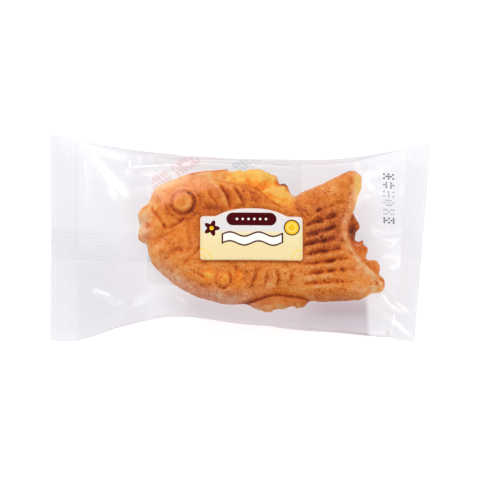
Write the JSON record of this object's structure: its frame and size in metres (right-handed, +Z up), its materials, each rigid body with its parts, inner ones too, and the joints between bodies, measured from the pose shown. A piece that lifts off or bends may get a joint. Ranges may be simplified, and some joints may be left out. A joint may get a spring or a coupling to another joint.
{
  "type": "taiyaki in a sealed bag",
  "caption": "Fish-shaped filled waffle cake sealed in a clear pillow bag with crimped ends, a small plaque sticker on top.",
  "frame": {"origin": "middle of the pack's extents, on the plane that it rests on", "axes": "+X from the fish's head to its tail along the bag, +Y towards the fish's back, +Z up through the shown side"},
  "size_m": [0.2017, 0.1109, 0.03],
  "materials": {
    "film": "clear glossy plastic film",
    "cake": "golden brown baked waffle crust, slightly greasy",
    "sachet": "off-white printed sachet film",
    "sticker": "satin coated paper sticker"
  },
  "bodies": {
    "root": {"bag": "film", "label": "sticker"}
  },
  "joints": []
}
